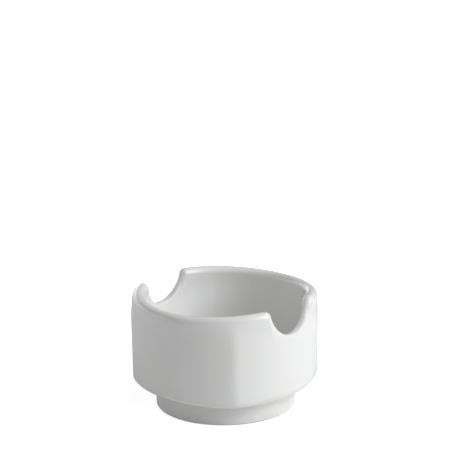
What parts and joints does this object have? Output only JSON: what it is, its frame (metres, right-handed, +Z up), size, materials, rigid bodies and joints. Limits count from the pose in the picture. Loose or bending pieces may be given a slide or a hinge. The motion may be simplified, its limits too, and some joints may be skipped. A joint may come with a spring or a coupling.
{
  "type": "sugar packet holder",
  "caption": "White glazed porcelain holder for sugar packets: an open rounded-square cup on a round foot, with a U-shaped finger notch in two opposite walls.",
  "frame": {"origin": "centre of the round foot, on the plane that it rests on", "axes": "+Z up out of the open top; the two finger notches face +Y and -Y; the two plain walls face +X and -X"},
  "size_m": [0.08, 0.0768, 0.0518],
  "materials": {
    "fired_clay": "matte",
    "white_glaze": "gloss"
  },
  "bodies": {
    "root": {"porcelain_body": "fired_clay", "outer_glaze": "white_glaze", "recess_glaze": "white_glaze"}
  },
  "joints": []
}
